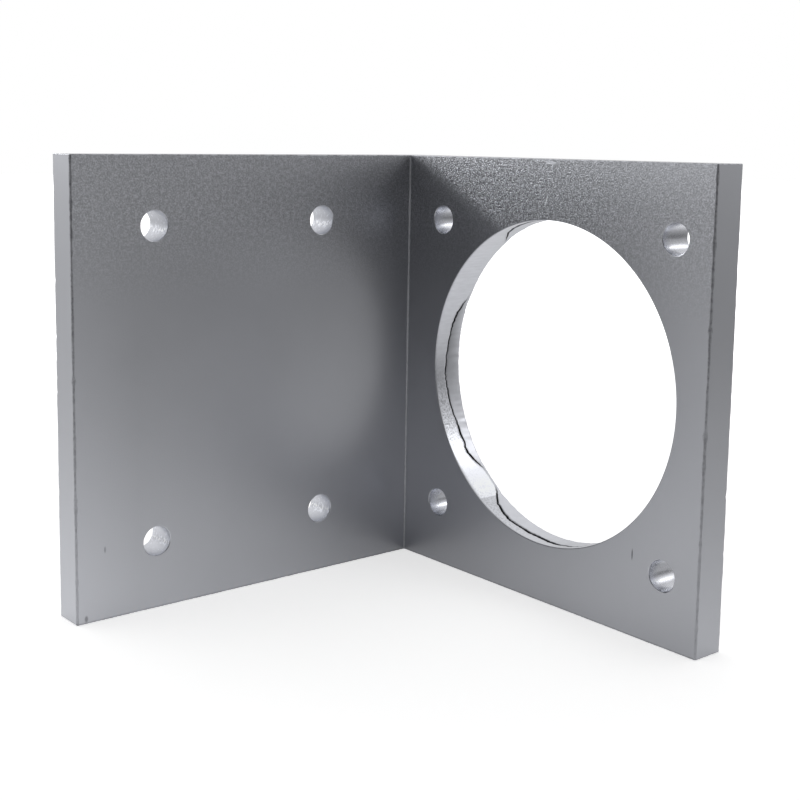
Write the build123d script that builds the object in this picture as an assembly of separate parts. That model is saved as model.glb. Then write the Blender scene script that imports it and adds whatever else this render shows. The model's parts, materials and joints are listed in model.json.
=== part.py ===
from build123d import *
import os

# Motor mounting bracket: a short length of heavy right-angle aluminium, sawn square.
#
# The motor leg is pierced by the large pilot bore and the four screw holes of an 86 mm frame
# motor. The foot leg has four screw holes of its own, for the bed of the machine.
#
# Millimetres. The origin is the centre of the pilot bore on the motor face. The motor shaft
# points along +X, the foot lies on the +Y side, and +Z runs up the sawn length, so the bracket
# stands on one sawn end.

# The stock: both legs are measured overall, from the heel to the toe
sawn_length = 100.0
wall = 8.0
motor_leg = 99.5
foot_leg = 99.0
heel_radius = 0.25
edge_break = 0.3

# The motor leg, drilled and bored for the motor's flange
screw_square = 69.6
pilot_boss = 73.0
pilot_clearance = 0.1
pilot_height = 47.3
pilot_break = 0.4
motor_screw = 6.0

# The foot leg, drilled for the machine bed
foot_row_pitch = 44.5
foot_hole_pitch = 69.6
foot_first_row = 27.0
foot_screw = 6.0

# Both sets of screw holes
screw_clearance = 0.3
hole_break = 0.25

# The faces that the rest is laid out from
motor_face = 0.0
foot_face = pilot_height
motor_outside = motor_face + wall
foot_outside = foot_face + wall
motor_toe = foot_outside - motor_leg
foot_toe = motor_outside - foot_leg


def angle_stock():
    """The bare angle: an L of even wall, square outside and nearly sharp inside the heel."""
    outline = Polyline(
        (motor_outside, foot_outside),
        (foot_toe, foot_outside),
        (foot_toe, foot_face),
        (motor_face, foot_face),
        (motor_face, motor_toe),
        (motor_outside, motor_toe),
        close=True,
    )
    stock = extrude(make_face(outline), sawn_length / 2, both=True)
    inside_heel = stock.edges().filter_by(Axis.Z).sort_by_distance((motor_face, foot_face, 0))[0]
    outside = [edge for edge in stock.edges() if edge != inside_heel]
    stock = chamfer(outside, edge_break)
    inside_heel = stock.edges().filter_by(Axis.Z).sort_by_distance((motor_face, foot_face, 0))[0]
    return fillet(inside_heel, heel_radius)


def drill(radius, rim):
    """A cutter for one hole through a wall: a shank with a small cone that breaks each rim.

    The wall's near face is at z = 0 of the cutter and its far face at z = wall.
    """
    over = 1.0
    shank = extrude(Circle(radius), wall + 2 * over)
    half_section = make_face(
        Polyline(
            (0, -over),
            (radius + rim + over, -over),
            (radius, rim),
            (0, rim),
            close=True,
        )
    )
    rim_cone = revolve(Plane.XZ * half_section, Axis.Z)
    far_cone = Pos(0, 0, wall) * Rot(X=180) * rim_cone
    return Pos(0, 0, -over) * shank + rim_cone + far_cone


def motor_cutters():
    """The pilot bore with the motor's four screw holes round it."""
    leg = Plane(origin=(motor_face, 0, 0), x_dir=(0, 1, 0), z_dir=(1, 0, 0))
    pilot = drill(pilot_boss / 2 + pilot_clearance, pilot_break)
    screw = drill(motor_screw / 2 + screw_clearance, hole_break)
    spots = GridLocations(screw_square, screw_square, 2, 2)
    return [leg * pilot] + [leg * spot * screw for spot in spots]


def foot_cutters():
    """The four screw holes of the foot, in two rows square to the motor face."""
    middle_row = motor_face - foot_first_row - foot_row_pitch / 2
    leg = Plane(origin=(middle_row, foot_face, 0), x_dir=(0, 0, 1), z_dir=(0, 1, 0))
    screw = drill(foot_screw / 2 + screw_clearance, hole_break)
    spots = GridLocations(foot_hole_pitch, foot_row_pitch, 2, 2)
    return [leg * spot * screw for spot in spots]


def bracket():
    """The whole bracket, one solid."""
    return angle_stock() - motor_cutters() - foot_cutters()


os.makedirs("parts", exist_ok=True)
whole = bracket()
export_step(whole, "parts/bracket.step")
print(f"bracket: {whole.volume / 1000:.2f} cm3, {len(whole.solids())} solid")
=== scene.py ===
# %% [markdown]
# # A motor mounting bracket in satin aluminium
#
# The bracket is a short length of thick right-angle aluminium. One leg is pierced for a motor,
# the other is drilled as a foot. This lesson loads the engineering model as a fixed frame,
# builds a finer metal skin in exactly the same place, gives each worked surface its own
# finish, and sets it up in a small white studio.

# %% Load the frame
import json
import math
import random

import bmesh
import bpy
import numpy as np
from mathutils import Matrix, Vector
from mathutils.geometry import delaunay_2d_cdt


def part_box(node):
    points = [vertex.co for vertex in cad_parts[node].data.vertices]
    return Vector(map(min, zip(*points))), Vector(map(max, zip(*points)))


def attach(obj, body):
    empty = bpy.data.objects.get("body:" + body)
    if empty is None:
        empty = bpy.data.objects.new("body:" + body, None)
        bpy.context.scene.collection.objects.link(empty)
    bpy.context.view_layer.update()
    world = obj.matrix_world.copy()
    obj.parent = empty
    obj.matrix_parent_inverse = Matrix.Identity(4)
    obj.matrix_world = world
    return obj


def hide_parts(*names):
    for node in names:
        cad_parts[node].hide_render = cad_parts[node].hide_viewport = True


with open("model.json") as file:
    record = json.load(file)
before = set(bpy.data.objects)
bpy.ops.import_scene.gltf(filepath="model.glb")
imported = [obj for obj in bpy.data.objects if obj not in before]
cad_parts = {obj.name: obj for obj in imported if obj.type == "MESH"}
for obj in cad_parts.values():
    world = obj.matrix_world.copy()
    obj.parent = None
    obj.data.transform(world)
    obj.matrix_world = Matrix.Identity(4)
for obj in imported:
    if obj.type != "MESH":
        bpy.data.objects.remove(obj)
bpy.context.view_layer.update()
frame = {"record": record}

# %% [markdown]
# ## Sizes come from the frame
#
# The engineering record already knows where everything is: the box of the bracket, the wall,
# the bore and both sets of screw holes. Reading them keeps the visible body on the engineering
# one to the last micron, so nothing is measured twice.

MM = 0.001
low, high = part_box("bracket")
mounts = {mount["name"]: mount for mount in frame["record"]["mounts"]}
motor_face = mounts["motor_face"]["pos_m"][0]
wall = high.x - motor_face
foot_face = high.y - wall
bore_radius = mounts["pilot_bore"]["dims"]["r_mm"] * MM
print(f"wall {wall / MM:.1f} mm, bore radius {bore_radius / MM:.1f} mm")


def screw_spots(name, across):
    """Centres of a four-hole pattern, as (across, z) pairs on its leg, and the hole radius."""
    mount = mounts[name]
    centre = mount["pos_m"]
    size = mount["dims"]
    half_across = size["spacing_x_mm"] * MM / 2
    half_up = size["spacing_y_mm"] * MM / 2
    spots = [
        (centre[across] + side * half_across, centre[2] + end * half_up)
        for side in (-1, 1)
        for end in (-1, 1)
    ]
    return spots, size["hole_r_mm"] * MM


motor_spots, motor_hole = screw_spots("motor_screws", 1)
foot_spots, foot_hole = screw_spots("foot_screws", 0)
print("screw holes:", len(motor_spots), "in the motor leg,", len(foot_spots), "in the foot")

# %% [markdown]
# ## A skin made of rows
#
# Real metal has no perfectly sharp edge: every corner is a tiny round that catches or loses
# the light. A bevel modifier could round them all alike, but here each edge should wander and
# carry its own nicks, and the torn wall inside the bore needs rows of points that follow the
# tear. So the skin is laid row by row, like planking, and the flat faces between the rows are
# filled last. The little class below keeps the points, the faces and the finish of each face.
# A row can also be painted with marks, which a material reads later.


# %% The skin
class Skin:
    """Points and faces of one closed metal skin, with a finish for every face."""

    def __init__(self):
        self.points = []
        self.faces = []
        self.finishes = []
        self.flat_normals = {}
        self.marks = {}

    def row(self, places, **marks):
        """Adds a row of points and gives back their numbers. Marks are levels, one or a rowful."""
        start = len(self.points)
        self.points.extend(places)
        numbers = list(range(start, len(self.points)))
        for name, level in marks.items():
            levels = np.broadcast_to(level, (len(numbers),)).tolist()
            self.marks.setdefault(name, {}).update(zip(numbers, levels))
        return numbers

    def plank(self, rows, finish, closed=False):
        """Joins rows of equal length, each to the next, with four-sided faces."""
        for row, beside in zip(rows, rows[1:]):
            count = len(row)
            for here in range(count if closed else count - 1):
                ahead = (here + 1) % count
                self.faces.append((row[here], row[ahead], beside[ahead], beside[here]))
                self.finishes.append(finish)


# %% [markdown]
# ## Filling a flat face
#
# A flat face is bounded by loops of points that already belong to the rounded edges and to the
# holes. Blender's constrained Delaunay triangulation joins exactly those points, with a loose
# grid of extra ones in between so that no triangle gets too long. Points outside the face, or
# inside a hole, are found by counting how often a line from them crosses the loops. Each point
# of a flat face keeps the face's own normal, so the face shades as flat as a surface plate.


# %% Fill between loops
def inside_loops(spots, loops):
    """For each flat spot, whether it is inside the loops, by counting crossings."""
    across, up = np.asarray(spots).T
    odd = np.zeros(len(across), bool)
    for loop in loops:
        for (u0, v0), (u1, v1) in zip(loop, np.roll(loop, -1, axis=0)):
            if v0 == v1:
                continue
            between = (v0 > up) != (v1 > up)
            odd ^= between & (across < u0 + (up - v0) * (u1 - u0) / (v1 - v0))
    return odd


def fill_flat(skin, loops, normal, finish, grid_gap):
    """Fills a flat face. The first loop is its outline, and the others are its holes."""
    normal = Vector(normal)
    dropped = max(range(3), key=lambda axis: abs(normal[axis]))
    kept = [axis for axis in range(3) if axis != dropped]
    level = skin.points[loops[0][0]][dropped]
    numbers = [number for loop in loops for number in loop]
    # Millimetres keep the triangulation well clear of its rounding limits
    flats = [np.array([[skin.points[n][axis] / MM for axis in kept] for n in loop]) for loop in loops]
    rim = np.concatenate(flats)
    gap = grid_gap / MM
    lowest = rim.min(axis=0)
    steps = [max(2, round(side / gap)) for side in rim.max(axis=0) - lowest]
    spread = [np.linspace(rim[:, k].min(), rim[:, k].max(), steps[k] + 1)[1:-1] for k in (0, 1)]
    grid = np.array([(u, v) for u in spread[0] for v in spread[1]])
    roomy = np.array([np.hypot(*(rim - spot).T).min() > gap / 3 for spot in grid])
    grid = grid[roomy & inside_loops(grid, flats)]
    edges = []
    start = 0
    for loop in loops:
        count = len(loop)
        edges += [(start + k, start + (k + 1) % count) for k in range(count)]
        start += count
    places = np.full((len(grid), 3), level, float)
    places[:, kept] = grid * MM
    numbers += skin.row([tuple(place) for place in places])
    spots = [Vector(spot) for spot in np.concatenate([rim, grid])]
    laid, _, triangles, came_from, _, _ = delaunay_2d_cdt(spots, edges, [], 0, 1e-6)
    corners = np.array(triangles)
    flat_laid = np.array([tuple(spot) for spot in laid])
    on_the_face = inside_loops(flat_laid[corners].mean(axis=1), flats)
    for triangle in corners[on_the_face]:
        skin.faces.append(tuple(numbers[came_from[corner][0]] for corner in triangle))
        skin.finishes.append(finish)
    for number in numbers:
        skin.flat_normals[number] = normal


skin = Skin()

# %% [markdown]
# ## Edges that wander
#
# The angle is extruded, sawn off and tumbled, so its edges are rounded by a few tenths of a
# millimetre, never quite evenly, with a nick here and there where pieces knocked together. A
# handful of sine waves with seeded phases gives the same wobble on every run. They go from
# long to short, so an edge drifts slowly and shivers a little at the same time.


# %% Wobbles
def graded(first, last, count):
    """Numbers from first to last, each the same number of times the one before."""
    return [first * (last / first) ** (step / (count - 1)) for step in range(count)]


def sum_of_waves(seed, rates):
    """Sine waves with seeded phases, together mostly between -1 and 1, as a function of place."""
    dice = random.Random(seed)
    waves = [(rate, dice.uniform(0, 2 * math.pi)) for rate in rates]

    def at(place):
        return sum(math.sin(rate * place + phase) for rate, phase in waves) / math.sqrt(len(waves))

    return at


def wobble(seed, longest, shortest, count=10):
    """A wobble along an edge, from its longest wave to its shortest."""
    return sum_of_waves(seed, [2 * math.pi / length for length in graded(longest, shortest, count)])


def ring_wobble(seed, fewest, most, count=12):
    """The same round a circle: every wave fits it a whole number of times."""
    return sum_of_waves(seed, [round(times) for times in graded(fewest, most, count)])


# %% Nicks
def nicks(seed, length, how_many, widest, deepest):
    """Seeded dents along an edge, as a function of distance from its middle."""
    dice = random.Random(seed)
    dents = []
    for _ in range(how_many):
        middle = dice.uniform(-length / 2, length / 2)
        dents.append((middle, dice.uniform(0.4, 1) * widest, dice.uniform(0.3, 1) * deepest))

    def at(distance):
        return sum(deep * math.exp(-(((distance - middle) / wide) ** 2)) for middle, wide, deep in dents)

    return at


# %% [markdown]
# ## The outline
#
# Seen from above, the bracket is an L with six corners. Each corner is a small arc that turns
# outwards, except the inner heel, which turns inwards. The arcs run all the way up the bracket
# in short steps, so that wobble and nicks have points to move.

# %% Corner arcs
edge_round = 0.42 * MM
heel_round = 0.4 * MM
end_round = 0.22 * MM
step_gap = 0.8 * MM
arc_steps = 6
end_steps = 4
half_length = high.z
toe_margin = 1.6 * MM
nicks_per_edge = 9
widest_nick = 0.8 * MM
deepest_nick = 0.3 * MM

# Each turn: its corner, how round it is, and 1 where it turns outwards or -1 inwards
turns = [
    ((motor_face, low.y), edge_round, 1),
    ((high.x, low.y), edge_round, 1),
    ((high.x, high.y), edge_round, 1),
    ((low.x, high.y), edge_round, 1),
    ((low.x, foot_face), edge_round, 1),
    ((motor_face, foot_face), heel_round, -1),
]
directions = []
for number, (corner, _, _) in enumerate(turns):
    onward = Vector(turns[(number + 1) % len(turns)][0]) - Vector(corner)
    directions.append(onward.normalized())
outwards = [Vector((direction.y, -direction.x)) for direction in directions]

corner_wobbles = [wobble(10 + number, 45 * MM, 2.2 * MM) for number in range(len(turns))]
corner_nicks = [
    nicks(30 + number, 2 * half_length, nicks_per_edge, widest_nick, deepest_nick)
    for number in range(len(turns))
]
print("corners of the outline:", len(turns))


def quarter(steps):
    """The cosine and sine at even steps of a quarter turn."""
    angles = [math.radians(90) * step / steps for step in range(steps + 1)]
    return [(math.cos(angle), math.sin(angle)) for angle in angles]


def turn_radius(number, height):
    """How round a corner is at one height, with its wobble, and nicks on all but the heel."""
    _, plain, way = turns[number]
    if way < 0:
        return plain * (1 + 0.12 * corner_wobbles[number](height))
    return plain * (1 + 0.16 * corner_wobbles[number](height)) + corner_nicks[number](height)


def turn_spots(number, height):
    """The arc of one corner as flat spots, each with its outward direction."""
    corner, _, way = turns[number]
    before = outwards[number - 1]
    after = outwards[number]
    radius = turn_radius(number, height)
    centre = Vector(corner) - way * radius * (before + after)
    spots = []
    for cosine, sine in quarter(arc_steps):
        out = cosine * before + sine * after
        spots.append((centre + way * radius * out, out))
    return spots


def side_spots(number):
    """Evenly spaced spots on the straight side that follows a corner."""
    start = Vector(turns[number][0])
    end = Vector(turns[(number + 1) % len(turns)][0])
    length = (end - start).length - 2 * toe_margin
    count = max(2, round(length / step_gap))
    first = start + directions[number] * toe_margin
    return [(first + directions[number] * length * k / count, outwards[number]) for k in range(count + 1)]


# %% [markdown]
# ## Rounding the sawn ends
#
# Each ring is the outline drawn in a little further, and together they make a quarter round
# with a wobble and a few shallow dents. It stays small where it meets the long edges.

# %% Rings at the sawn ends
dented_length = 400 * MM
dents_per_end = 26
end_rings = {}
turn_slices = []
side_slices = []
for end in (-1, 1):
    outline = []
    for number in range(len(turns)):
        arc = turn_spots(number, end * half_length)
        side = side_spots(number)
        if end < 0:
            turn_slices.append((len(outline), len(outline) + len(arc)))
            side_slices.append((len(outline) + len(arc) - 1, len(outline) + len(arc) + len(side) + 1))
        outline += arc + side
    end_wobble = wobble(50 + end, 40 * MM, 2 * MM)
    end_dents = nicks(60 + end, dented_length, dents_per_end, 0.7 * MM, 0.12 * MM)
    walked = 0
    rounds = []
    for here, (spot, _) in enumerate(outline):
        walked += (spot - outline[here - 1][0]).length if here else 0
        rounding = end_round * (1 + 0.15 * end_wobble(walked)) + end_dents(walked - dented_length / 2)
        for first, last in turn_slices:
            if first <= here < last:
                rounding = min(rounding, 0.9 * end_round)
        rounds.append(rounding)
    rings = []
    for cosine, sine in quarter(end_steps):
        places = []
        for (spot, out), radius in zip(outline, rounds):
            inset = spot - out * radius * (1 - cosine)
            height = end * (half_length - radius * (1 - sine))
            places.append((inset.x, inset.y, height))
        rings.append(skin.row(places))
    end_rings[end] = rings
print("points round one end:", len(end_rings[1][0]))

# %% Corners from end to end
last_station = half_length - 1 * MM
station_count = round(2 * last_station / step_gap)
stations = np.linspace(-last_station, last_station, station_count + 1)

turn_rows = []
for number, (first, last) in enumerate(turn_slices):
    rows = [end_rings[-1][0][first:last]]
    for height in stations:
        rows.append(skin.row([(spot.x, spot.y, height) for spot, _ in turn_spots(number, height)]))
    rows.append(end_rings[1][0][first:last])
    skin.plank(rows, "heel" if turns[number][2] < 0 else "edge")
    turn_rows.append(rows)
for end in (-1, 1):
    skin.plank(end_rings[end], "edge", closed=True)
print("rows up each corner:", len(turn_rows[0]))

# %% [markdown]
# ## Drilled screw holes
#
# A drilled hole is a straight wall with its two rims just broken by a countersink. Each rim
# here is a quarter round that wanders a little. Two marks are painted along each wall: a painted
# highlight, where the wall is painted bright, and a painted shade across its middle. Angles start
# on the side that faces the heel, and 90 is the top. The first and last rows of a hole are kept,
# because the flat faces of the leg are filled up to them.


# %% Screw holes
def leg_place(leg, across, up, depth):
    """A point of a leg: across it, up along z, and so deep below its inside face."""
    if leg == "motor":
        return (motor_face + depth, across, up)
    return (across, foot_face + depth, up)


hole_sides = 96
hole_rim = 0.2 * MM
rim_steps = 4
wall_steps = 4
# Painted highlight and painted shade, as patches round the hole walls
# Each patch: its middle and its width in degrees, and its level
painted_highlight_patches = {"motor": [(-37, 8, 1.0), (48, 16, 0.8)], "foot": [(-20, 14, 1.0)]}
painted_shade_patches = [(12, 26, 1.0)]
wall_finish = {"motor": "reamed", "foot": "drilled"}


def round_circle(angles, patches):
    """A level at every angle: each patch fades to 0 on both sides of its middle."""
    total = 0
    for middle, wide, level in patches:
        apart = np.degrees(np.angle(np.exp(1j * (angles - math.radians(middle)))))
        total = total + level * np.exp(-((apart / wide) ** 2))
    return total


def drill_hole(leg, spot, radius, seed):
    """Lays the rows of one screw hole and returns the rows at its near and far face."""
    unevenness = ring_wobble(seed, 2, 18)
    around = 2 * math.pi * np.arange(hole_sides) / hole_sides
    # Levels of painted highlight and painted shade at every angle round the wall
    glare = round_circle(around, painted_highlight_patches[leg])
    gloom = round_circle(around, painted_shade_patches)
    profile = [(1 - sine, 0, 1 - cosine) for cosine, sine in quarter(rim_steps)]
    profile += [(0, step / wall_steps, 1 - 2 * step / wall_steps) for step in range(1, wall_steps)]
    profile += [(1 - sine, 1, cosine - 1) for cosine, sine in reversed(quarter(rim_steps))]
    rows = []
    for flare, along, tuck in profile:
        places = []
        for angle in around:
            rim = hole_rim * (1 + 0.2 * unevenness(angle))
            reach = radius + rim * flare
            depth = wall * along + rim * tuck
            across = spot[0] + reach * math.cos(angle)
            places.append(leg_place(leg, across, spot[1] + reach * math.sin(angle), depth))
        rows.append(skin.row(places, glare=glare, gloom=gloom))
    skin.plank(rows[: rim_steps + 1], "rim", closed=True)
    skin.plank(rows[rim_steps:-rim_steps], wall_finish[leg], closed=True)
    skin.plank(rows[-rim_steps - 1 :], "rim", closed=True)
    return rows[0], rows[-1]


# %% Drill both legs
near_loops = {"motor": [], "foot": []}
far_loops = {"motor": [], "foot": []}
for leg, spots, radius in (("motor", motor_spots, motor_hole), ("foot", foot_spots, foot_hole)):
    for number, spot in enumerate(spots):
        near, far = drill_hole(leg, spot, radius, 100 + number + 10 * len(leg))
        near_loops[leg].append(near)
        far_loops[leg].append(far)
    print(f"{leg} leg: {len(spots)} holes, {2 * radius / MM:.1f} mm across")

# %% [markdown]
# ## The bored opening
#
# The big opening was punched out first, and then a boring cut cleaned the front of its wall to
# size. The cut leaves a smooth land there. Behind it the wall is still as the punch tore it,
# rougher and a little wider, and a dark crack shows where the two meet. The crack lies shallow
# where the metal round the opening is narrow, and runs out to the back rim towards the four
# corners. A painted line alone would not do, because a real groove stays dark from every side,
# so the crack is a groove, and its colour is also painted almost black, painted shade. A short
# list says how many millimetres deep it lies at each angle, and a curve smoothed through the
# list leads the rows of points.

# %% The line of the crack
crack_line = {
    0: 3.4, 6: 3.8, 9: 4.2, 14: 4.3, 19: 5.2, 22: 6.2, 26: 7.3, 56: 7.3, 58: 6.1, 65: 3.3,
    71: 2.8, 78: 2.1, 96: 2.3, 108: 3.0, 118: 4.6, 124: 7.0, 142: 7.3, 149: 5.2, 158: 4.1,
    171: 3.3, 184: 3.5, 196: 4.6, 207: 4.3, 213: 6.4, 219: 7.3, 237: 7.2, 242: 4.9, 248: 3.1,
    255: 2.3, 267: 2.6, 274: 3.3, 280: 3.1, 288: 2.8, 291: 2.9, 299: 4.0, 304: 6.3, 307: 7.3,
    317: 7.1, 322: 4.7, 335: 4.7, 341: 3.9, 353: 3.3,
}
crack_angles = np.radians(list(crack_line))
crack_depths = np.array(list(crack_line.values())) * MM
bore_sides = 900
bore_angles = 2 * math.pi * np.arange(bore_sides) / bore_sides
crack_depth = np.interp(bore_angles, crack_angles, crack_depths, period=2 * math.pi)
smoothing_rounds = 30
for _ in range(smoothing_rounds):
    crack_depth = (np.roll(crack_depth, 1) + 2 * crack_depth + np.roll(crack_depth, -1)) / 4


def ring_of(wave):
    """A wave's value at every angle of the bore."""
    return np.array([wave(angle) for angle in bore_angles])


crack_depth += 0.09 * MM * ring_of(ring_wobble(7, 40, 400, 24))
crack_depth += 0.10 * MM * ring_of(ring_wobble(8, 9, 70, 12))
deepest_crack = wall - 0.65 * MM
crack_depth = np.minimum(crack_depth, deepest_crack)
print(f"crack from {crack_depth.min() / MM:.1f} to {crack_depth.max() / MM:.1f} mm below the face")

# %% [markdown]
# ## How the bore's wall varies
#
# The crack yawns in a few places and closes where it runs out at the back rim. The land is
# scuffed in some stretches. In others it is burnished and painted much brighter, partly the
# burnish and partly a painted highlight, cut off sharply at one angle. The torn zone gets
# painted shade on both sides, darkest just behind the crack. Each of these is a level for
# every angle, made of patches like the screw holes' marks.

# %% Levels round the bore
yawns = [
    (20, 5, 1.0), (150, 5, 1.0), (205, 5, 1.0), (321, 5, 1.0),
    (76, 14, 2.0), (88, 12, 2.0), (288, 14, 1.4), (270, 12, 1.6), (250, 12, 0.5),
]
scuffs = [(337, 15, 1.0), (157, 15, 1.0), (294, 14, 0.6)]
# Stretches of the land painted brighter, burnish and painted highlight, cut off sharply at one angle; and
# painted shade in the torn zone
burnish_and_highlight_patches = [(308, 14, 1.0), (128, 14, 1.0)]
burnish_and_highlight_start = math.radians(303)
torn_shade_patches = [(8, 20, 1.0), (188, 20, 1.0)]
closed_ledge = 0.75 * MM
opening_ledge = 1.2 * MM
back_rim = 0.3 * MM
torn_flare = 0.22 * MM
gape = ring_of(ring_wobble(9, 3, 40, 14))
chips = ring_of(ring_wobble(11, 60, 420, 20))
ripple = ring_of(ring_wobble(12, 20, 160, 14))

open_here = np.clip((wall - closed_ledge - crack_depth) / opening_ledge, 0, 1)
yawning = round_circle(bore_angles, yawns)
crack_half = MM * np.clip(0.21 + 0.05 * gape + 0.19 * yawning, 0.14, 0.95)
crack_gape = MM * np.clip(0.22 + 0.08 * gape + 0.3 * yawning, 0.08, 0.6)
crack_gape = crack_gape * (0.05 + 0.95 * open_here)
back_rounds = np.clip(back_rim * (1 + 0.22 * chips), 0.1 * MM, 0.5 * MM)
flares = torn_flare * open_here * (1 + 0.15 * ripple)
# Painted shade in the torn zone, and the land's stretches of burnish and painted highlight
shaded = round_circle(bore_angles, torn_shade_patches)
scuffed = round_circle(bore_angles, scuffs)
burnished = round_circle(bore_angles, burnish_and_highlight_patches) * (np.sin(bore_angles - burnish_and_highlight_start) > 0)
print(f"crack up to {2 * crack_half.max() / MM:.1f} mm wide and {crack_gape.max() / MM:.1f} mm deep")

# %% Rows of the bore
bore_rim = 0.22 * MM
land_steps = 9
torn_steps = 8
# Each crack row: how far out and along it lies, in shares of the crack, and its marks
crack_rows = [
    (0.7, -0.5, 0.8, 0.0),
    (1.0, 0.0, 1.0, 0.0),
    (0.8, 0.45, 1.0, 0.5),
    (0.4, 0.8, 0.9, 0.8),
]


def bore_row(reach, depth, **marks):
    """One row round the bore. Reach is how far the metal stands back from the bore's radius."""
    reach = np.broadcast_to(reach, bore_angles.shape)
    depth = np.broadcast_to(depth, bore_angles.shape)
    radius = bore_radius + reach
    across = radius * np.cos(bore_angles)
    up = radius * np.sin(bore_angles)
    return skin.row([leg_place("motor", *place) for place in zip(across, up, depth)], **marks)


bore_rows = []
for cosine, sine in quarter(rim_steps):
    bore_rows.append(bore_row(bore_rim * (1 - sine), bore_rim * (1 - cosine)))
land_end = crack_depth - crack_half
for step in range(1, land_steps + 1):
    share = step / land_steps
    reach_down = bore_rim + (land_end - bore_rim) * share
    bore_rows.append(bore_row(0, reach_down, scuffed=scuffed * (1 - 0.5 * share), burnished=burnished))
# The crack mark says how dark the groove's colour is painted, as painted shade
for out, along, dark, torn in crack_rows:
    depth = crack_depth + along * crack_half
    bore_rows.append(bore_row(out * crack_gape, depth, crack=dark * open_here, torn=torn))
torn_start = crack_depth + crack_half
torn_end = wall - back_rounds
for step in range(torn_steps + 1):
    share = step / torn_steps
    hollow = flares * (0.15 + 0.85 * share**0.8)
    depth = torn_start + (torn_end - torn_start) * share
    # Painted shade in the torn zone, darkest just behind the crack
    torn_shade = shaded * open_here * (1 - share) ** 0.7
    bore_rows.append(bore_row(hollow, depth, torn=1.0, shaded=torn_shade))
for cosine, sine in quarter(rim_steps)[1:]:
    reach = flares + back_rounds * (1 - cosine)
    bore_rows.append(bore_row(reach, wall - back_rounds * (1 - sine), torn=0.6))
skin.plank(bore_rows[: rim_steps + 1], "rim", closed=True)
skin.plank(bore_rows[rim_steps:], "bore", closed=True)
near_loops["motor"].append(bore_rows[0])
far_loops["motor"].append(bore_rows[-1])
print("rows down the bore:", len(bore_rows))

# %% [markdown]
# ## Closing the flat faces
#
# Six long faces and two sawn ends are left. Each long face is bounded by the last column of
# one corner arc, the first column of the next, and a stretch of the outline at either end.

# %% Long faces and sawn ends
wide_grid = 5 * MM
narrow_grid = 3 * MM
long_faces = [
    ("toe", []),
    ("outside", far_loops["motor"]),
    ("outside", far_loops["foot"]),
    ("toe", []),
    ("inside", near_loops["foot"]),
    ("inside", near_loops["motor"]),
]
for number, (finish, holes) in enumerate(long_faces):
    first, last = side_slices[number]
    bottom = end_rings[-1][0]
    top = end_rings[1][0]
    along = [k % len(bottom) for k in range(first, last)]
    onward = (number + 1) % len(turns)
    rise = [row[0] for row in turn_rows[onward][1:-1]]
    fall = [row[-1] for row in turn_rows[number][-2:0:-1]]
    loop = [bottom[k] for k in along] + rise + [top[k] for k in reversed(along)] + fall
    normal = (outwards[number].x, outwards[number].y, 0)
    fill_flat(skin, [loop] + holes, normal, finish, wide_grid if holes else narrow_grid)
for end in (-1, 1):
    fill_flat(skin, [end_rings[end][-1]], (0, 0, end), "sawn", narrow_grid)
print(f"skin: {len(skin.points)} points, {len(skin.faces)} faces")

# %% [markdown]
# ## From rows to a mesh
#
# The rows become one mesh. Blender turns every face to look outwards, which it can because the
# skin is closed. Rounded parts get normals averaged from their faces, and points of a flat
# face keep the flat normal that was written down for them. The painted marks go along as
# attributes, for the materials to read.


# %% Make the mesh
def make_body(skin, name, finish_order):
    """Turns the skin into a mesh object."""
    mesh = bpy.data.meshes.new(name)
    mesh.from_pydata(skin.points, [], skin.faces)
    mesh.validate()
    for polygon, finish in zip(mesh.polygons, skin.finishes):
        polygon.material_index = finish_order.index(finish)
    whole = bmesh.new()
    whole.from_mesh(mesh)
    bmesh.ops.recalc_face_normals(whole, faces=whole.faces)
    open_edges = sum(not edge.is_manifold for edge in whole.edges)
    whole.to_mesh(mesh)
    whole.free()
    mesh.shade_smooth()
    normals = np.array([tuple(vertex.normal) for vertex in mesh.vertices])
    for number, normal in skin.flat_normals.items():
        normals[number] = normal
    mesh.normals_split_custom_set_from_vertices(normals.tolist())
    for mark, values in skin.marks.items():
        attribute = mesh.attributes.new(mark, "FLOAT", "POINT")
        for number, value in values.items():
            attribute.data[number].value = value
    body = bpy.data.objects.new(name, mesh)
    bpy.context.scene.collection.objects.link(body)
    print(f"{name}: {len(mesh.polygons)} faces, {open_edges} open edges")
    return body


finish_order = ["inside", "outside", "toe", "edge", "heel", "sawn", "rim", "drilled", "reamed", "bore"]
body = make_body(skin, "bracket_metal", finish_order)
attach(body, "root")
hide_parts("bracket")

# %% [markdown]
# ## A board for shader wiring
#
# A material is a board of nodes. It could be wired node by node, but two small classes let its
# maths read like maths. Wire wraps an output, and each sum or product adds a Math node.


# %% Wires
class Wire:
    """An output socket that takes part in plain expressions."""

    def __init__(self, finish, socket):
        self.finish = finish
        self.socket = socket

    def maths(self, operation, first, second):
        return self.finish.node("ShaderNodeMath", {"operation": operation}, {0: first, 1: second})

    def __add__(self, other):
        return self.maths("ADD", self, other)

    def __radd__(self, other):
        return self.maths("ADD", other, self)

    def __sub__(self, other):
        return self.maths("SUBTRACT", self, other)

    def __rsub__(self, other):
        return self.maths("SUBTRACT", other, self)

    def __mul__(self, other):
        return self.maths("MULTIPLY", self, other)

    def __rmul__(self, other):
        return self.maths("MULTIPLY", other, self)

    def least(self, other):
        return self.maths("MINIMUM", self, other)

    def most(self, other):
        return self.maths("MAXIMUM", self, other)


# %% [markdown]
# ## The board itself
#
# Finish owns the board of one material. Its node method adds any node in one call, settings
# first. The rest are short names for what the finishes use again and again.


# %% Finishes
def fill_ramp(ramp, stops):
    """Sets a colour ramp's stops from (position, level) pairs."""
    while len(ramp.elements) < len(stops):
        ramp.elements.new(1)
    for element, (position, level) in zip(ramp.elements, stops):
        element.position = position
        element.color = (level, level, level, 1)


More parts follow.
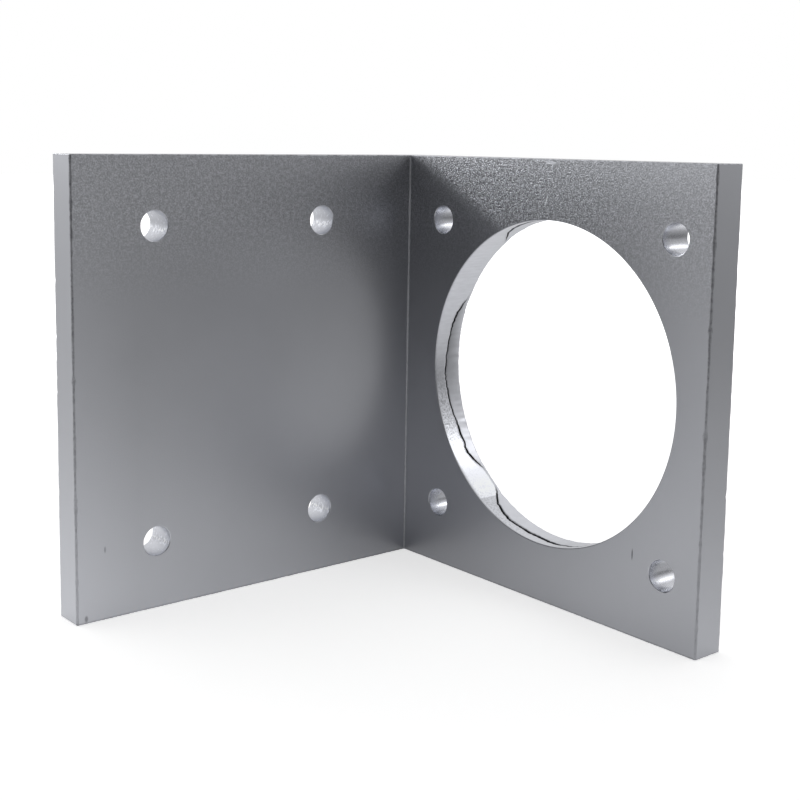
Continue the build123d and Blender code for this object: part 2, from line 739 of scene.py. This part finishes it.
class Finish:
    """One material and its board of nodes."""

    def __init__(self, name):
        self.material = bpy.data.materials.new(name)
        self.material.use_nodes = True
        self.tree = self.material.node_tree
        self.tree.nodes.clear()

    def node(self, kind, settings=None, sockets=None, out=0):
        """Adds a node: its settings, then its sockets, as values or wires. Returns one output."""
        node = self.tree.nodes.new(kind)
        for name, value in (settings or {}).items():
            if name == "stops":
                fill_ramp(node.color_ramp, value)
            else:
                setattr(node, name, value)
        for key, value in (sockets or {}).items():
            if isinstance(value, Wire):
                self.tree.links.new(value.socket, node.inputs[key])
            else:
                node.inputs[key].default_value = value
        return Wire(self, node.outputs[out])

    def noise(self, place, scale, detail=3, roughness=0.6):
        """Cloudy noise between 0 and 1. Scale is the number of blobs in a metre."""
        sockets = {"Vector": place, "Scale": scale, "Detail": detail, "Roughness": roughness}
        return self.node("ShaderNodeTexNoise", {}, sockets, out="Fac")

    def axis(self, place, letter):
        """One coordinate of a place, in metres."""
        return self.node("ShaderNodeSeparateXYZ", {}, {"Vector": place}, out=letter)

    def apart(self, place, point):
        """How far a place is from a point, in metres."""
        return self.node("ShaderNodeVectorMath", {"operation": "DISTANCE"}, {0: place, 1: point}, out="Value")

    def painted(self, mark):
        """A mark that was painted on the points of the mesh, between 0 and 1."""
        return self.node("ShaderNodeAttribute", {"attribute_name": mark}, out="Fac")

    def spot(self, place, centre, half_sizes, tilt):
        """A small mark: 1 in the middle of an egg-shaped space, and 0 from its skin on."""
        sockets = {"Vector": place, "Location": centre, "Rotation": tilt, "Scale": half_sizes}
        inside = self.node("ShaderNodeMapping", {"vector_type": "TEXTURE"}, sockets)
        length = self.node("ShaderNodeVectorMath", {"operation": "LENGTH"}, {0: inside}, out="Value")
        return ((1 - length) * 2).least(1).most(0)

    def ramp(self, value, stops):
        """Levels a value through a list of (position, level) stops."""
        return self.node("ShaderNodeValToRGB", {"stops": stops}, {"Fac": value})

    def stretch(self, place, amounts):
        """Stretches a place, so that what is drawn on it gets streaky."""
        return self.node("ShaderNodeVectorMath", {"operation": "MULTIPLY"}, {0: place, 1: amounts})

    def blend(self, share, first, second):
        """A colour between two colours."""
        sockets = {0: share, 6: first, 7: second}
        return self.node("ShaderNodeMix", {"data_type": "RGBA"}, sockets, out=2)


# %% [markdown]
# ## The metal
#
# All finishes are the same aluminium, worked in different ways. One function sets up what they
# share: a fully metallic shader and a bump that carries the grain. Each finish below only says
# what its colour, roughness and relief look like. The place on the bracket drives every
# pattern, so grain and scratches keep their real size whatever the shape of the face.


# %% One metal for all
ALUMINIUM = (0.443, 0.451, 0.480)


def shade(level):
    """The aluminium colour at a level of brightness."""
    return (*(channel * level for channel in ALUMINIUM), 1)


def show(finish, shader):
    """Puts a shader on the outside of a material."""
    output = finish.tree.nodes.new("ShaderNodeOutputMaterial")
    finish.tree.links.new(shader.socket, output.inputs["Surface"])
    return finish.material


def metal(name, work):
    """A metal finish. Work is the function that wires its colour, roughness and relief."""
    finish = Finish(name)
    place = finish.node("ShaderNodeTexCoord", out="Object")
    colour, roughness, relief, depth = work(finish, place)
    bump = finish.node("ShaderNodeBump", {}, {"Height": relief, "Distance": depth}, out="Normal")
    sockets = {"Base Color": colour, "Roughness": roughness, "Normal": bump, "Metallic": 1.0}
    return show(finish, finish.node("ShaderNodeBsdfPrincipled", {}, sockets))


# %% [markdown]
# ## Blasted inside faces
#
# The two faces that look into the corner are matt from fine blasting. The blasted grain is
# coarse only on their upper part, and on the motor leg it stops at a slant that starts at the
# top of the heel, the slant of the raking lamp's shadow. Under soft light the grain vanishes,
# but a lamp that rakes along the face picks it out as glitter. The glitter is painted too:
# bright and dark specks are painted into the colour where the raking lamp lights, a painted
# highlight. The top of the motor face and the foot's far end are painted paler, a painted
# highlight, and a thin painted shade runs along the bottom edge. Noise and a few distances
# make all this without any unwrapping.

# %% Marks on the blasted faces
grit_fade = 20 * MM
# The slope and start of the raking lamp's shadow edge on the motor face
lamp_shadow_slant = 0.55
lamp_shadow_start = 22 * MM
# Each mark: its middle and half sizes in millimetres, its tilt and its brightness
face_marks = [
    ((-88.8, 47.3, -48.9), (0.5, 1, 0.9), (0, 0, 0), 0.6),
    ((-84.2, 47.3, -34.4), (0.3, 1, 0.9), (0, 0, 0), 0.7),
    ((0, -26.9, -32.2), (1, 0.22, 1.5), (0, 0, 0), 0.35),
    ((0, 1.0, 41.0), (1, 0.22, 1.7), (0.3, 0, 0), 2.2),
    ((0, 0.0, 49.2), (1, 2.2, 0.35), (0, 0, 0), 2.0),
]
print("marks on the inside faces:", len(face_marks))


def fade_in(value, start, over):
    """0 up to a start, then rising to 1 over a distance."""
    return ((value - start) * (1 / over)).least(1).most(0)


# %% Blasted faces
def blasted(finish, place):
    """Fine blasted grain, coarser towards the top, with painted glitter, painted highlight bands, a painted
    shade along the bottom and a few small marks.
    """
    grain = finish.noise(place, 2600, 2, 0.6)
    clouds = finish.noise(place, 45, 3, 0.5)
    lumps = finish.noise(place, 1100)
    along, across, up = (finish.axis(place, letter) for letter in "XYZ")
    colour = finish.blend(clouds, shade(0.95), shade(1.05))

    # Painted highlight: the top of the motor face and the far end of the foot are painted paler
    painted_top_highlight = fade_in(up, 40 * MM, 10 * MM) * fade_in(foot_face - across, 0, grit_fade)
    painted_toe_highlight = fade_in(-1 * along, 76 * MM, 14 * MM) * 0.5
    colour = finish.blend(painted_top_highlight.most(painted_toe_highlight), colour, shade(1.25))

    # Painted glitter: bright and dark specks painted into the colour where the raking lamp lights, stopping
    # at its shadow's slant. The same zone gets the grain's relief.
    past_lamp_shadow = fade_in(up - across * lamp_shadow_slant, lamp_shadow_start, 5 * MM)
    before_toe = fade_in(across, -55 * MM, 75 * MM)
    lamp_raked_zone = past_lamp_shadow.least(before_toe).most(0.35) * fade_in(up, 17 * MM, grit_fade)
    painted_glitter = finish.ramp(grain * 0.6 + lumps * 0.4, [(0.41, 0.0), (0.5, 0.4), (0.59, 1.0)])
    colour = finish.blend(lamp_raked_zone * 0.9, colour, finish.blend(painted_glitter, shade(0.4), shade(1.8)))

    for centre, half_sizes, tilt, level in face_marks:
        mark = finish.spot(place, Vector(centre) * MM, Vector(half_sizes) * MM, tilt)
        colour = finish.blend(mark, colour, shade(level))
    # Painted shade: a thin dark line along the bottom edge
    from_bottom = (up + half_length) * (1 / MM)
    painted_edge_shade = finish.ramp(from_bottom, [(0.15, 1.0), (0.5, 0.0)]) * lumps * 1.3
    colour = finish.blend(painted_edge_shade, colour, shade(0.35))
    return colour, clouds * 0.05 + 0.335, grain * (lamp_raked_zone * 0.9 + 0.1), 0.2 * MM


# %% [markdown]
# ## Sawn ends and drawn faces
#
# The outside faces and the toes are as the press left them, smooth with faint long lines. The
# two ends were cut by a saw, which leaves fine lines across the wall. Both are noise that is
# stretched in one direction.


# %% Sawn and drawn faces
def sawn(finish, place):
    """Fine saw lines across the wall."""
    streaks = finish.noise(finish.stretch(place, (0.12, 1.0, 1.0)), 900)
    clouds = finish.noise(place, 60, 2, 0.5)
    colour = finish.blend(clouds, shade(0.97), shade(1.05))
    return colour, clouds * 0.08 + 0.3, streaks, 0.02 * MM


def drawn(finish, place):
    """Smooth extruded face with long faint drawing lines."""
    lines = finish.noise(finish.stretch(place, (1.0, 1.0, 0.02)), 1500, 2, 0.5)
    grain = finish.noise(place, 2600, 2, 0.6)
    clouds = finish.noise(place, 50, 2, 0.5)
    colour = finish.blend(clouds, shade(1.08), shade(1.16))
    return colour, clouds * 0.06 + 0.31, lines * 0.5 + grain * 0.5, 0.012 * MM


# %% [markdown]
# ## Edges and rims
#
# Tumbling rounds the edges and leaves them duller. Their colour is darkened in specks, painted
# shade that draws a fine dark line round each leg. The heel inside is out of reach, and blasting
# polished it paler. The rims of the holes are fresh cuts and stay bright.


# %% Edges and rims
def worn(finish, place):
    """A tumbled edge: a soft dark line of painted shade, darkest towards the top and at the very bottom."""
    specks = finish.noise(place, 900)
    share_up = finish.axis(place, "Z") * (1 / (2 * half_length)) + 0.5
    edge_shade_by_height = finish.ramp(share_up, [(0.0, 1.0), (0.008, 0.1), (1.0, 0.9)])
    # Painted shade: the edge's colour darkened in specks, most near the top and along the very bottom
    painted_edge_shade = finish.ramp(specks, [(0.42, 0.0), (0.65, 1.0)]) * edge_shade_by_height
    colour = finish.blend(painted_edge_shade, shade(1.0), shade(0.5))
    return colour, specks * 0.2 + 0.42, specks, 0.03 * MM


def heel(finish, place):
    """The inner corner, a paler line that the blasting polished."""
    specks = finish.noise(place, 900, 3, 0.7)
    colour = finish.blend(specks, shade(0.7), shade(1.3))
    return colour, specks * 0.1 + 0.5, specks, 0.03 * MM


def fresh(finish, place):
    """A countersunk rim, bright and freshly cut."""
    specks = finish.noise(place, 1500, 2, 0.6)
    colour = finish.blend(specks, shade(1.0), shade(1.4))
    return colour, specks * 0.1 + 0.28, specks, 0.02 * MM


# %% [markdown]
# ## The walls of the screw holes
#
# The foot's holes are only drilled, so torn specks glint in their walls, and in one band they
# are painted brighter, a painted highlight. The motor's holes are reamed smooth, because its
# screws have to fit closely. They carry a band of painted shade, with painted highlights above
# and below. The material only has to read the painted marks.


# %% Drilled and reamed walls
def drilled(finish, place):
    """A rough drilled wall with torn specks that glint, and specks painted bright in a painted highlight
    band.
    """
    turning = finish.noise(place, 1300, 3, 0.7)
    glints = finish.ramp(turning, [(0.56, 0.0), (0.66, 1.0)])
    colour = finish.blend(glints, shade(1.45), shade(1.9))
    # Painted highlight: specks painted bright where the highlight band is marked
    highlight_sparks = finish.ramp(turning, [(0.47, 0.0), (0.57, 1.0)])
    colour = finish.blend(highlight_sparks * finish.painted("glare"), colour, shade(2.3))
    return colour, turning * 0.1 + 0.38, turning, 0.08 * MM


def reamed(finish, place):
    """A smooth reamed wall, with painted shade across the middle and painted highlights above and below."""
    turning = finish.noise(place, 700, 2, 0.6)
    colour = finish.blend(turning, shade(1.3), shade(1.6))
    # Painted shade across the middle, then painted highlights, from the marks round the wall
    colour = finish.blend(finish.painted("gloom") * 0.85, colour, shade(0.8))
    colour = finish.blend(finish.painted("glare"), colour, shade(2.2))
    return colour, turning * 0.1 + 0.22, turning, 0.01 * MM


# %% [markdown]
# ## The wall of the bore
#
# The land in front of the crack is bright from the boring cut, with faint streaks along the
# bore where chips were pushed through. Some stretches of it are painted much brighter, partly
# burnish and partly a painted highlight. Behind the crack the metal tore, so it is lumpy and a
# little duller, and painted shade darkens it next to the crack. Here too the painted marks say
# where everything is.


# %% The wall of the bore
def bored(finish, place):
    """Bright land with scuffed stretches and stretches painted brighter as burnish and painted highlight,
    torn zone with painted shade, and dark crack.
    """
    streaks = finish.noise(finish.stretch(place, (0.2, 1.0, 1.0)), 1400)
    lumps = finish.noise(place, 500)
    specks = finish.noise(place, 2400, 2, 0.6)
    torn = finish.painted("torn")
    scuffed = finish.painted("scuffed")
    land = finish.blend(streaks, shade(1.2), shade(1.6))
    # Painted highlight, partly burnish: stretches of the land painted much brighter
    land = finish.blend(finish.painted("burnished"), land, shade(2.2))
    tear = finish.blend(lumps, shade(1.3), shade(1.6))
    colour = finish.blend(torn, land, tear)
    # Painted shade in the torn zone next to the crack
    colour = finish.blend(finish.painted("shaded"), colour, shade(0.7))
    pits = finish.ramp(specks, [(0.38, 1.0), (0.48, 0.0)])
    glints = finish.ramp(specks, [(0.52, 0.0), (0.62, 1.0)])
    colour = finish.blend(scuffed * pits * 0.8, colour, shade(0.5))
    colour = finish.blend(scuffed * glints * 0.7, colour, shade(2.0))
    # Painted shade: the crack's groove painted almost black
    colour = finish.blend(finish.painted("crack"), colour, shade(0.02))
    relief = streaks * 0.5 + lumps * torn + specks * scuffed * 2
    return colour, torn * 0.06 + 0.3, relief, 0.03 * MM


# %% [markdown]
# ## Each region gets its finish
#
# The faces already carry the number of their region, so the materials are added in that order.

# %% Finish every region
works = {
    "inside": blasted,
    "outside": drawn,
    "toe": drawn,
    "edge": worn,
    "heel": heel,
    "sawn": sawn,
    "rim": fresh,
    "drilled": drilled,
    "reamed": reamed,
    "bore": bored,
}
for region in finish_order:
    body.data.materials.append(metal("metal_" + region, works[region]))
print("finishes:", ", ".join(works))

# %% [markdown]
# ## The camera
#
# The camera looks down a little at the inside corner, from the side where both legs open out.
# A track constraint would only aim it at a point, but its own right and down directions settle
# its roll as well. The small shift slides the frame, as a view camera's back does, so upright
# edges stay upright.


# %% The camera
camera_spot = Vector((-212.12, -202.47, 53.97)) * MM


def place_camera():
    """A camera turned by its own right and down directions."""
    right = Vector((0.78100, -0.62439, 0.01324))
    down = Vector((-0.07118, -0.11006, -0.99137))
    lens = bpy.data.cameras.new("camera")
    lens.lens = 59.52
    lens.shift_x = 0.03567
    lens.shift_y = -0.10966
    lens.clip_start = 0.01
    camera = bpy.data.objects.new("camera", lens)
    turn = Matrix((right, -down, -right.cross(down))).transposed().to_4x4()
    camera.matrix_world = Matrix.Translation(camera_spot) @ turn
    bpy.context.scene.collection.objects.link(camera)
    bpy.context.scene.camera = camera
    return camera


camera = place_camera()
print(f"camera {camera.location.length / MM:.0f} mm from the middle of the bore")

# %% [markdown]
# ## A light tent
#
# Bare metal has hardly any colour of its own: what we see on it is the room. So the room is
# what a studio builds first. Softboxes leave hard patches between them, so here it is a round
# tent of cloth panels that glow softly. Dark panels on the camera's side give the corner its
# depth, and pale ones at the back open up the faces that look that way. The tent is hidden from
# the camera, and doesn't shade the lamps outside it.

# %% The tent
tent_radius = 0.38
tent_shoulder = 0.04
tent_roof = 0.34
tent_crown = 0.18
# The tone of each band by heading, in degrees from the motor's side towards the foot's
tent_tones = {
    "skirt": {-180: 0.2, -150: 0, -120: 0, -90: 0.55, -60: 0.1, -30: 0.5, 0: 0.6, 30: 0.6, 60: 0.65, 90: 0.65,
              120: 0.7, 150: 0.8},
    "wall": {-180: 0.15, -150: 0, -120: 0, -90: 0.35, -60: 0.6, -30: 0.65, 0: 0.7, 30: 0.95, 60: 0.85,
             90: 0.9, 120: 1.15, 150: 0.85},
    "roof": {-180: 0.65, -120: 0.25, -60: 0.35, 0: 0.75, 60: 0.95, 120: 1.05},
    "crown": {0: 0.55},
}
# Each band: its name, then the reach and the height of its foot and of its head
tent_bands = [
    ("skirt", tent_radius, low.z, tent_radius, tent_shoulder),
    ("wall", tent_radius, tent_shoulder, tent_radius, tent_roof),
    ("roof", tent_radius, tent_roof, tent_crown, tent_roof),
    ("crown", tent_crown, tent_roof, 0.0, tent_roof),
]


def glowing_cloth(name):
    """Cloth lit from behind: it glows by the tone painted on its points."""
    cloth = Finish(name)
    return show(cloth, cloth.node("ShaderNodeEmission", {}, {"Strength": cloth.painted("tone")}))


def stage_object(name, points, faces):
    """A plain object for the stage."""
    mesh = bpy.data.meshes.new(name)
    mesh.from_pydata(points, [], faces)
    staged = bpy.data.objects.new(name, mesh)
    bpy.context.scene.collection.objects.link(staged)
    return staged


def pitch_tent():
    """The tent as one mesh, with a tone on every point."""
    panels = 96
    headings = [2 * math.pi * k / panels for k in range(panels)]
    points = []
    faces = []
    tones = []
    for band, foot_reach, foot_height, head_reach, head_height in tent_bands:
        given = tent_tones[band]
        start = len(points)
        for reach, height in ((foot_reach, foot_height), (head_reach, head_height)):
            for heading in headings:
                points.append((reach * math.cos(heading), reach * math.sin(heading), height))
                level = np.interp(math.degrees(heading), list(given), list(given.values()), period=360)
                tones.append(float(level))
        for k in range(panels):
            ahead = (k + 1) % panels
            faces.append((start + k, start + ahead, start + panels + ahead, start + panels + k))
    tent = stage_object("tent", points, faces)
    tent.data.attributes.new("tone", "FLOAT", "POINT").data.foreach_set("value", tones)
    tent.data.materials.append(glowing_cloth("tent_cloth"))
    tent.visible_camera = False
    tent.visible_shadow = False
    return tent


tent = pitch_tent()
print(f"tent {2 * tent_radius:.2f} m across, {tent_roof - low.z:.2f} m high")

# %% [markdown]
# ## Floor and world
#
# The floor is plain pale paint. For the camera it also glows a little, as a lit sweep does,
# which turns it white without putting more light on the bracket, and the soft shadow stays. The
# metal sees a pool of glow in front of the foot leg, dimmer near the heel. The world beyond is
# plain white. Only the camera sees it, because every other ray meets the tent first.


# %% Who is looking
def seen_rays(finish):
    """1 where a ray comes from the camera, or from a mirror or glass."""
    path = finish.tree.nodes.new("ShaderNodeLightPath")
    names = ("Is Camera Ray", "Is Glossy Ray", "Is Transmission Ray")
    camera_ray, glossy_ray, glass_ray = (Wire(finish, path.outputs[name]) for name in names)
    return camera_ray, glossy_ray.most(glass_ray)


# %% The floor's paint
camera_glow = 0.6
pool_reach = 0.4
pool_middle = (0.8 * low.x, 0.45 * high.y, low.z)
pool_tones = [(0.0, 0.62), (0.25, 0.38), (0.5, 0.15), (1.0, 0.0)]
heel_foot = (0, foot_face, low.z)
heel_shade_reach = 150 * MM


def pale_floor():
    """The floor's paint, with a glow that only the camera and the metal see."""
    paint = Finish("floor_paint")
    camera_ray, mirror_ray = seen_rays(paint)
    place = paint.node("ShaderNodeTexCoord", out="Object")
    pool = paint.ramp(paint.apart(place, pool_middle) * (1 / pool_reach), pool_tones)
    pool = pool * (paint.apart(place, heel_foot) * (1 / heel_shade_reach) + 0.5).least(1)
    matt = paint.node("ShaderNodeBsdfDiffuse", {}, {"Color": (0.9, 0.9, 0.9, 1)})
    strength = camera_ray * camera_glow + mirror_ray * pool
    glow = paint.node("ShaderNodeEmission", {}, {"Strength": strength})
    return show(paint, paint.node("ShaderNodeAddShader", {}, {0: matt, 1: glow}))


# %% Floor and world
def lay_floor(reach):
    """A square floor a hair under the bracket."""
    level = low.z - 0.05 * MM
    corners = [(-reach, -reach, level), (reach, -reach, level), (reach, reach, level), (-reach, reach, level)]
    floor = stage_object("floor", corners, [(0, 1, 2, 3)])
    floor.data.materials.append(pale_floor())


lay_floor(3.0)

scene = bpy.context.scene
scene.view_settings.view_transform = "Standard"
world = bpy.data.worlds.new("studio")
world.use_nodes = True
world.cycles.sampling_method = "NONE"
scene.world = world
world.node_tree.nodes["Background"].inputs["Color"].default_value = (1, 1, 1, 1)
print("view transform:", scene.view_settings.view_transform)

# %% [markdown]
# ## A flag behind the foot
#
# A flag is a card that keeps light off one place. The raking lamp below would also shine through
# the foot's screw holes, so a card stands close behind that leg. It stops only the lamps,
# because light linking lets nothing but the bracket block the tent.


# %% The flag
def stand_flag():
    """A card close behind the foot leg that keeps the raking lamp out of its screw holes."""
    back = high.y + 1 * MM
    left, right = low.x - 3 * MM, high.x + 3 * MM
    corners = [(left, back, low.z), (right, back, low.z), (right, back, high.z), (left, back, high.z)]
    flag = stage_object("flag", corners, [(0, 1, 2, 3)])
    flag.visible_camera = False
    flag.visible_diffuse = False
    flag.visible_glossy = False
    flag.visible_transmission = False
    return flag


flag = stand_flag()
shading_the_tent = bpy.data.collections.new("shading_the_tent")
shading_the_tent.objects.link(body)
tent.light_linking.blocker_collection = shading_the_tent
print(f"flag {flag.dimensions.x / MM:.0f} mm wide")

# %% [markdown]
# ## Three small lamps
#
# The raking lamp stands behind the foot leg and shines over its top edge, almost along the motor
# face. The foot leg shades most of that face, so only its upper part is raked, and the shadow's
# edge runs down at a slant from the top of the heel. The other two are softboxes up behind the
# motor leg, a round one and a long low strip. Flat faces hardly show them, but the walls of the
# bore and the holes curve, so somewhere on each they make a highlight. All three light the
# bracket alone, so the floor keeps one soft shadow.

# %% Lamps
lamp_distance = 0.8
lit_by_lamps = bpy.data.collections.new("lit_by_lamps")
lit_by_lamps.objects.link(body)
middle_of_bore = Vector((0, 0, 0))
top_of_motor_face = Vector((motor_face, 0, 0.8 * high.z))


def soft_lamp(name, heading, height, wide, tall, power, target):
    """A soft oval lamp at a heading and height in degrees, aimed at a target."""
    across = math.radians(heading)
    up = math.radians(height)
    towards = Vector((math.cos(up) * math.cos(across), math.cos(up) * math.sin(across), math.sin(up)))
    light = bpy.data.lights.new(name, "AREA")
    light.shape = "ELLIPSE"
    light.size = wide
    light.size_y = tall
    light.energy = power
    lamp = bpy.data.objects.new(name, light)
    lamp.location = target + lamp_distance * towards
    lamp.rotation_euler = towards.to_track_quat("Z", "Y").to_euler()
    bpy.context.scene.collection.objects.link(lamp)
    lamp.light_linking.receiver_collection = lit_by_lamps
    print(f"{name}: {power} W, {wide:.2f} m wide")


soft_lamp("raking_lamp", 104, 27, 0.12, 0.12, 2, top_of_motor_face)
soft_lamp("bore_softbox", -22, 43, 0.5, 0.5, 0.95, middle_of_bore)
soft_lamp("strip_softbox", -38, 36, 0.4, 0.06, 0.6, middle_of_bore)
